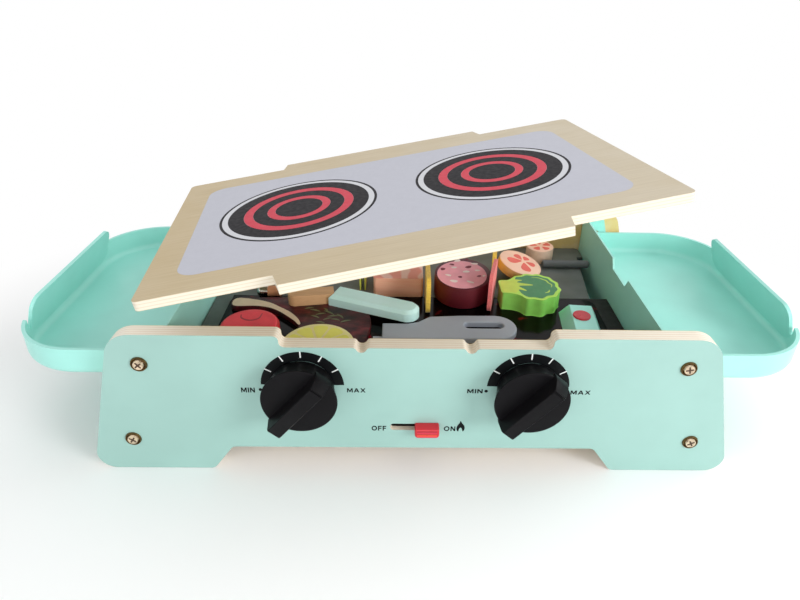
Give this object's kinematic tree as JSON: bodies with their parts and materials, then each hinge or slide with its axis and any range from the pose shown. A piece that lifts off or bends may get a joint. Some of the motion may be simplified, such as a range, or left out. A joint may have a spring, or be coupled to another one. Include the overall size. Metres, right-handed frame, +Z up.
{
  "type": "toy barbecue grill",
  "caption": "Toy grill box with two shaped end boards, side trays, lift-off hob lid, turning knobs, slide switch and play food inside.",
  "frame": {"origin": "centre of the ground plane under the box, midway between the boards and the trays", "axes": "X to the right along the front, Y to the back, Z up"},
  "size_m": [0.5566, 0.2615, 0.2058],
  "materials": {
    "painted_board": "satin turquoise paint over plywood, cream ply edges",
    "painted_sheet": "satin turquoise powder coat on sheet",
    "bronze_metal": "aged bronze",
    "dark_bronze_metal": "dark aged bronze",
    "bare_wood": "clear matt lacquer",
    "grey_plastic": "semi-matt",
    "steel": "plain steel",
    "black_plastic": "satin black",
    "black_gloss_plastic": "polished black",
    "red_plastic": "satin red",
    "dark_red_wood": "satin dark red paint",
    "yellow_wood": "satin yellow paint",
    "turquoise_wood": "satin turquoise paint",
    "red_wood": "satin red paint",
    "orange_wood": "bare orange tan wood",
    "salmon_wood": "satin salmon pink paint",
    "yellow_felt": "smooth pressed felt",
    "pink_felt": "smooth pressed felt",
    "green_wood": "satin green paint",
    "pink_wood": "satin pale pink paint",
    "grey_wood": "satin grey paint"
  },
  "bodies": {
    "box": {"front_board": "painted_board", "back_board": "painted_board", "left_wall": "painted_sheet", "right_wall": "painted_sheet", "board_screws": "bronze_metal", "screw_cups": "dark_bronze_metal", "base_board": "bare_wood", "battery_cover": "grey_plastic", "cover_screw": "steel", "lamp_box": "black_plastic", "deck": "grey_plastic", "ember_panel": "black_gloss_plastic", "switch_body": "black_plastic"},
    "left_knob": {"left_knob": "black_plastic", "left_knob_clip": "steel"},
    "right_knob": {"right_knob": "black_plastic", "right_knob_clip": "steel"},
    "switch_slider": {"switch_slider": "red_plastic"},
    "lid": {"lid_board": "bare_wood"},
    "left_tray": {"left_tray": "painted_sheet"},
    "right_tray": {"right_tray": "painted_sheet"},
    "steak": {"steak": "dark_red_wood"},
    "lemon_slice": {"lemon_slice": "yellow_wood"},
    "spreader": {"spreader_handle": "turquoise_wood", "spreader_stick": "bare_wood"},
    "red_tomato": {"red_tomato": "red_wood"},
    "peg": {"skewer_peg": "orange_wood", "skewer_cap": "steel"},
    "salmon": {"salmon": "salmon_wood"},
    "cheese_slice_left": {"cheese_slice_left": "yellow_felt"},
    "cheese_slice_right": {"cheese_slice_right": "yellow_felt"},
    "ham_slice": {"ham_slice": "pink_felt"},
    "yellow_strips": {"yellow_strips": "yellow_felt"},
    "salami": {"salami": "dark_red_wood"},
    "broccoli": {"broccoli": "green_wood"},
    "large_tomato_slice": {"large_tomato_slice": "pink_wood"},
    "small_tomato_slice": {"small_tomato_slice": "pink_wood"},
    "turner": {"turner": "grey_wood"},
    "shaker_block": {"shaker_block": "turquoise_wood", "shaker_button": "red_wood"},
    "grey_rod": {"grey_rod": "grey_wood"}
  },
  "joints": [
    {"name": "left_knob_turn", "type": "hinge", "parent": "box", "child": "left_knob", "pos_m": [-0.0738, -0.1125, 0.0739], "axis": [0, 1, 0], "range_deg": [-131, 49]},
    {"name": "right_knob_turn", "type": "hinge", "parent": "box", "child": "right_knob", "pos_m": [0.0738, -0.1125, 0.0739], "axis": [0, 1, 0], "range_deg": [-131, 49]},
    {"name": "switch_slide", "type": "slide", "parent": "box", "child": "switch_slider", "axis": [-1, 0, 0], "range_m": [0, 0.0158]},
    {"name": "lid_lift", "type": "slide", "parent": "box", "child": "lid", "axis": [0, 0, 1], "range_m": [0, 0.08]},
    {"name": "left_tray_pull", "type": "slide", "parent": "box", "child": "left_tray", "axis": [-1, 0, 0], "range_m": [0, 0.07]},
    {"name": "right_tray_pull", "type": "slide", "parent": "box", "child": "right_tray", "axis": [1, 0, 0], "range_m": [0, 0.07]},
    {"name": "steak_lift", "type": "slide", "parent": "box", "child": "steak", "axis": [0, 0, 1], "range_m": [0, 0.025]},
    {"name": "lemon_slice_lift", "type": "slide", "parent": "steak", "child": "lemon_slice", "axis": [0, 0, 1], "range_m": [0, 0.02]},
    {"name": "spreader_lift", "type": "slide", "parent": "steak", "child": "spreader", "axis": [0, 0, 1], "range_m": [0, 0.02]},
    {"name": "red_tomato_lift", "type": "slide", "parent": "box", "child": "red_tomato", "axis": [0, 0, 1], "range_m": [0, 0.025]},
    {"name": "peg_lift", "type": "slide", "parent": "box", "child": "peg", "axis": [0, 0, 1], "range_m": [0, 0.025]},
    {"name": "salmon_lift", "type": "slide", "parent": "box", "child": "salmon", "axis": [0, 0, 1], "range_m": [0, 0.025]},
    {"name": "cheese_slice_left_lift", "type": "slide", "parent": "box", "child": "cheese_slice_left", "axis": [0, 0, 1], "range_m": [0, 0.025]},
    {"name": "cheese_slice_right_lift", "type": "slide", "parent": "box", "child": "cheese_slice_right", "axis": [0, 0, 1], "range_m": [0, 0.025]},
    {"name": "ham_slice_lift", "type": "slide", "parent": "box", "child": "ham_slice", "axis": [0, 0, 1], "range_m": [0, 0.025]},
    {"name": "yellow_strips_lift", "type": "slide", "parent": "box", "child": "yellow_strips", "axis": [0, 0, 1], "range_m": [0, 0.025]},
    {"name": "salami_lift", "type": "slide", "parent": "box", "child": "salami", "axis": [0, 0, 1], "range_m": [0, 0.025]},
    {"name": "broccoli_lift", "type": "slide", "parent": "box", "child": "broccoli", "axis": [0, 0, 1], "range_m": [0, 0.025]},
    {"name": "large_tomato_slice_lift", "type": "slide", "parent": "box", "child": "large_tomato_slice", "axis": [0, 0, 1], "range_m": [0, 0.025]},
    {"name": "small_tomato_slice_lift", "type": "slide", "parent": "box", "child": "small_tomato_slice", "axis": [0, 0, 1], "range_m": [0, 0.025]},
    {"name": "turner_lift", "type": "slide", "parent": "box", "child": "turner", "axis": [0, 0, 1], "range_m": [0, 0.025]},
    {"name": "shaker_block_lift", "type": "slide", "parent": "box", "child": "shaker_block", "axis": [0, 0, 1], "range_m": [0, 0.025]},
    {"name": "grey_rod_lift", "type": "slide", "parent": "box", "child": "grey_rod", "axis": [0, 0, 1], "range_m": [0, 0.025]}
  ]
}
